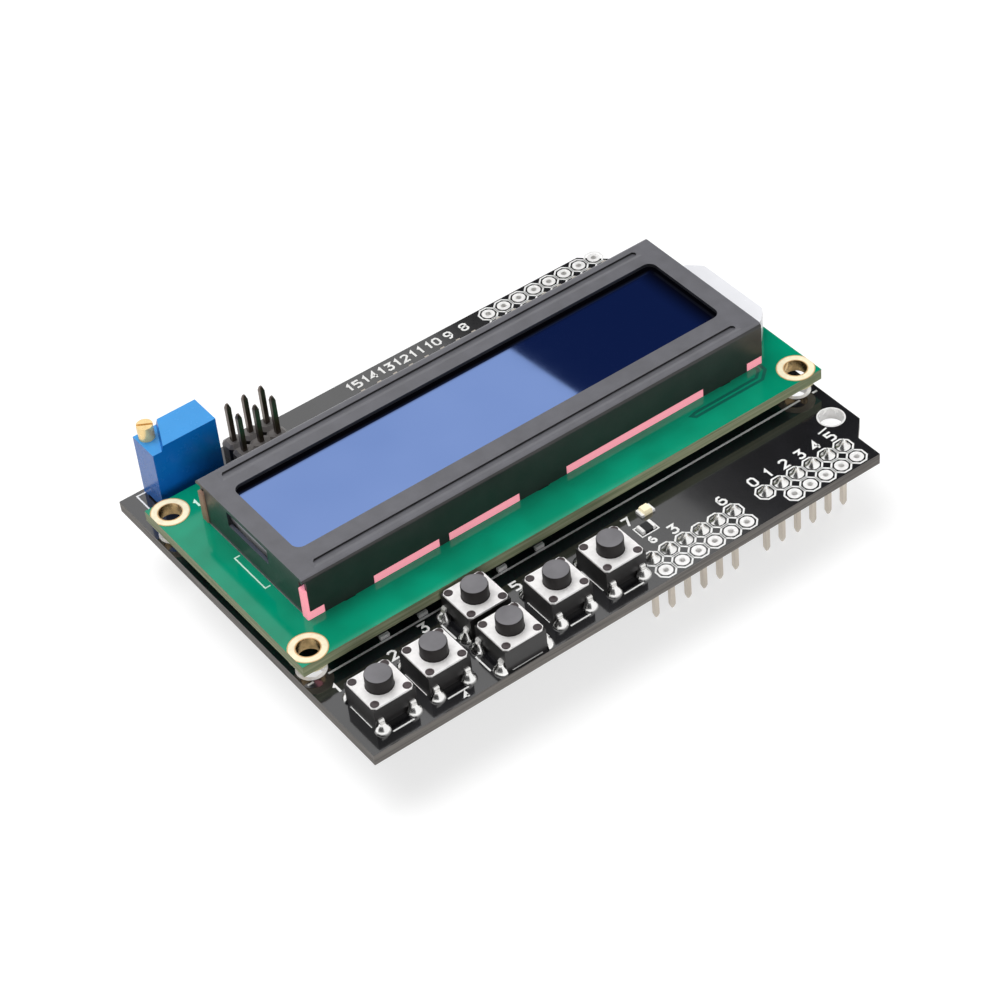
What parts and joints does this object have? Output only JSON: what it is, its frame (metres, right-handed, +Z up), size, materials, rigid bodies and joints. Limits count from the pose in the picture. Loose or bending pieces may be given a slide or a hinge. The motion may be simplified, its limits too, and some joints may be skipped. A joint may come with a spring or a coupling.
{
  "type": "lcd keypad shield",
  "caption": "Plug-on board with a framed blue character display, tact switches for navigation and reset, a trimmer and header pins underneath.",
  "frame": {"origin": "middle of the board outline in plan, at the level of the header pins' tips", "axes": "+Z up out of the display, +X along the board towards the end with the mounting hole, +Y from the keys towards the display side"},
  "size_m": [0.0796, 0.0564, 0.0213],
  "materials": {
    "header_plastic": "moulded black",
    "pin_metal": "tinned, warm grey",
    "shield_mask": "gloss black solder mask",
    "green_mask": "gloss green solder mask",
    "bezel_paint": "satin black on steel",
    "display_glass": "polished, blue behind",
    "contact_rubber": "pink silicone",
    "white_plastic": "translucent white",
    "black_resin": "poured resin",
    "switch_plastic": "moulded black",
    "switch_cover_metal": "bright plated",
    "plunger_plastic": "moulded dark grey",
    "spring_steel": "bright",
    "tinned_leg": "tinned",
    "trimmer_plastic": "moulded blue",
    "screw_brass": "turned",
    "chip_body": "black glazed with tinned ends",
    "led_lens": "clear pale yellow",
    "solder": "bright solder"
  },
  "bodies": {
    "board": {"analog_header_pins": "pin_metal", "analog_header_strip": "header_plastic", "backlight_panel": "white_plastic", "chip_resistors": "chip_body", "controller_blobs": "black_resin", "digital_high_header_pins": "pin_metal", "digital_high_header_strip": "header_plastic", "digital_low_header_pins": "pin_metal", "digital_low_header_strip": "header_plastic", "down_key_cover": "switch_cover_metal", "down_key_dome": "spring_steel", "down_key_housing": "switch_plastic", "down_key_terminals": "tinned_leg", "front_contact_strip": "contact_rubber", "indicator_led": "led_lens", "lcd_bezel": "bezel_paint", "lcd_board": "green_mask", "lcd_front_glass": "display_glass", "lcd_header_pins": "pin_metal", "lcd_header_strip": "header_plastic", "lcd_rear_glass": "display_glass", "left_key_cover": "switch_cover_metal", "left_key_dome": "spring_steel", "left_key_housing": "switch_plastic", "left_key_terminals": "tinned_leg", "pin_block_pins": "pin_metal", "pin_block_strip": "header_plastic", "power_header_pins": "pin_metal", "power_header_strip": "header_plastic", "rear_contact_strip": "contact_rubber", "reset_key_cover": "switch_cover_metal", "reset_key_dome": "spring_steel", "reset_key_housing": "switch_plastic", "reset_key_terminals": "tinned_leg", "right_key_cover": "switch_cover_metal", "right_key_dome": "spring_steel", "right_key_housing": "switch_plastic", "right_key_terminals": "tinned_leg", "select_key_cover": "switch_cover_metal", "select_key_dome": "spring_steel", "select_key_housing": "switch_plastic", "select_key_terminals": "tinned_leg", "shield_board": "shield_mask", "solder_joints": "solder", "trimmer_housing": "trimmer_plastic", "trimmer_leads": "tinned_leg", "up_key_cover": "switch_cover_metal", "up_key_dome": "spring_steel", "up_key_housing": "switch_plastic", "up_key_terminals": "tinned_leg"},
    "select_key": {"select_key_plunger": "plunger_plastic"},
    "left_key": {"left_key_plunger": "plunger_plastic"},
    "up_key": {"up_key_plunger": "plunger_plastic"},
    "down_key": {"down_key_plunger": "plunger_plastic"},
    "right_key": {"right_key_plunger": "plunger_plastic"},
    "reset_key": {"reset_key_plunger": "plunger_plastic"},
    "trimmer_screw": {"trimmer_screw": "screw_brass"}
  },
  "joints": [
    {"name": "select_key_press", "type": "slide", "parent": "board", "child": "select_key", "axis": [0, 0, -1], "range_m": [0, 0.00025], "stiffness_N_per_m": 1000, "deforming": ["select_key_dome"]},
    {"name": "left_key_press", "type": "slide", "parent": "board", "child": "left_key", "axis": [0, 0, -1], "range_m": [0, 0.00025], "stiffness_N_per_m": 1000, "deforming": ["left_key_dome"]},
    {"name": "up_key_press", "type": "slide", "parent": "board", "child": "up_key", "axis": [0, 0, -1], "range_m": [0, 0.00025], "stiffness_N_per_m": 1000, "deforming": ["up_key_dome"]},
    {"name": "down_key_press", "type": "slide", "parent": "board", "child": "down_key", "axis": [0, 0, -1], "range_m": [0, 0.00025], "stiffness_N_per_m": 1000, "deforming": ["down_key_dome"]},
    {"name": "right_key_press", "type": "slide", "parent": "board", "child": "right_key", "axis": [0, 0, -1], "range_m": [0, 0.00025], "stiffness_N_per_m": 1000, "deforming": ["right_key_dome"]},
    {"name": "reset_key_press", "type": "slide", "parent": "board", "child": "reset_key", "axis": [0, 0, -1], "range_m": [0, 0.00025], "stiffness_N_per_m": 1000, "deforming": ["reset_key_dome"]},
    {"name": "trimmer_screw_turn", "type": "hinge", "parent": "board", "child": "trimmer_screw", "pos_m": [-0.035, 0.0265, 0.0192], "axis": [0, 0, 1], "continuous": true}
  ]
}
